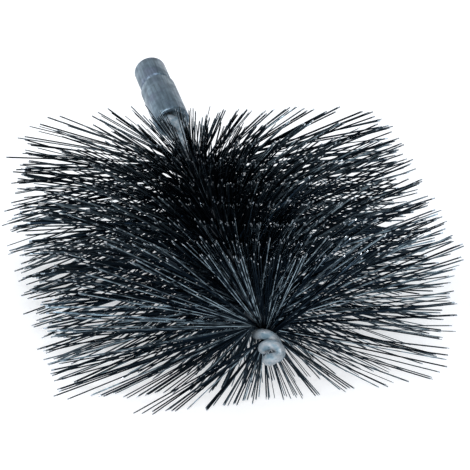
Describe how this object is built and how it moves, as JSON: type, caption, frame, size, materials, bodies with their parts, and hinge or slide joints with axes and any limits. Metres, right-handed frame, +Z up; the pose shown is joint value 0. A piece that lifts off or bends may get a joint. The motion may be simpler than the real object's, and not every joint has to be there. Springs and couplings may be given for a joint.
{
  "type": "boiler brush",
  "caption": "Twisted-in-wire flue brush with a flat rectangular block of stiff steel bristles, a folded wire eye at the tip and a threaded steel socket at the rear.",
  "frame": {"origin": "centre of the footprint, on the plane of the bottom bristle tips that the brush lies on", "axes": "+Y along the stem from the wire eye to the socket, +X across the wide way of the bristle block, +Z up"},
  "size_m": [0.153, 0.2062, 0.0666],
  "materials": {
    "galvanised_wire": "galvanised, satin",
    "socket_steel": "turned, zinc plated, satin",
    "bristle_steel": "oil-tempered black wire, semi-gloss"
  },
  "bodies": {
    "root": {"stem_wire": "galvanised_wire", "socket": "socket_steel", "bristles_1": "bristle_steel", "bristles_2": "bristle_steel", "bristles_3": "bristle_steel", "bristles_4": "bristle_steel"}
  },
  "joints": []
}
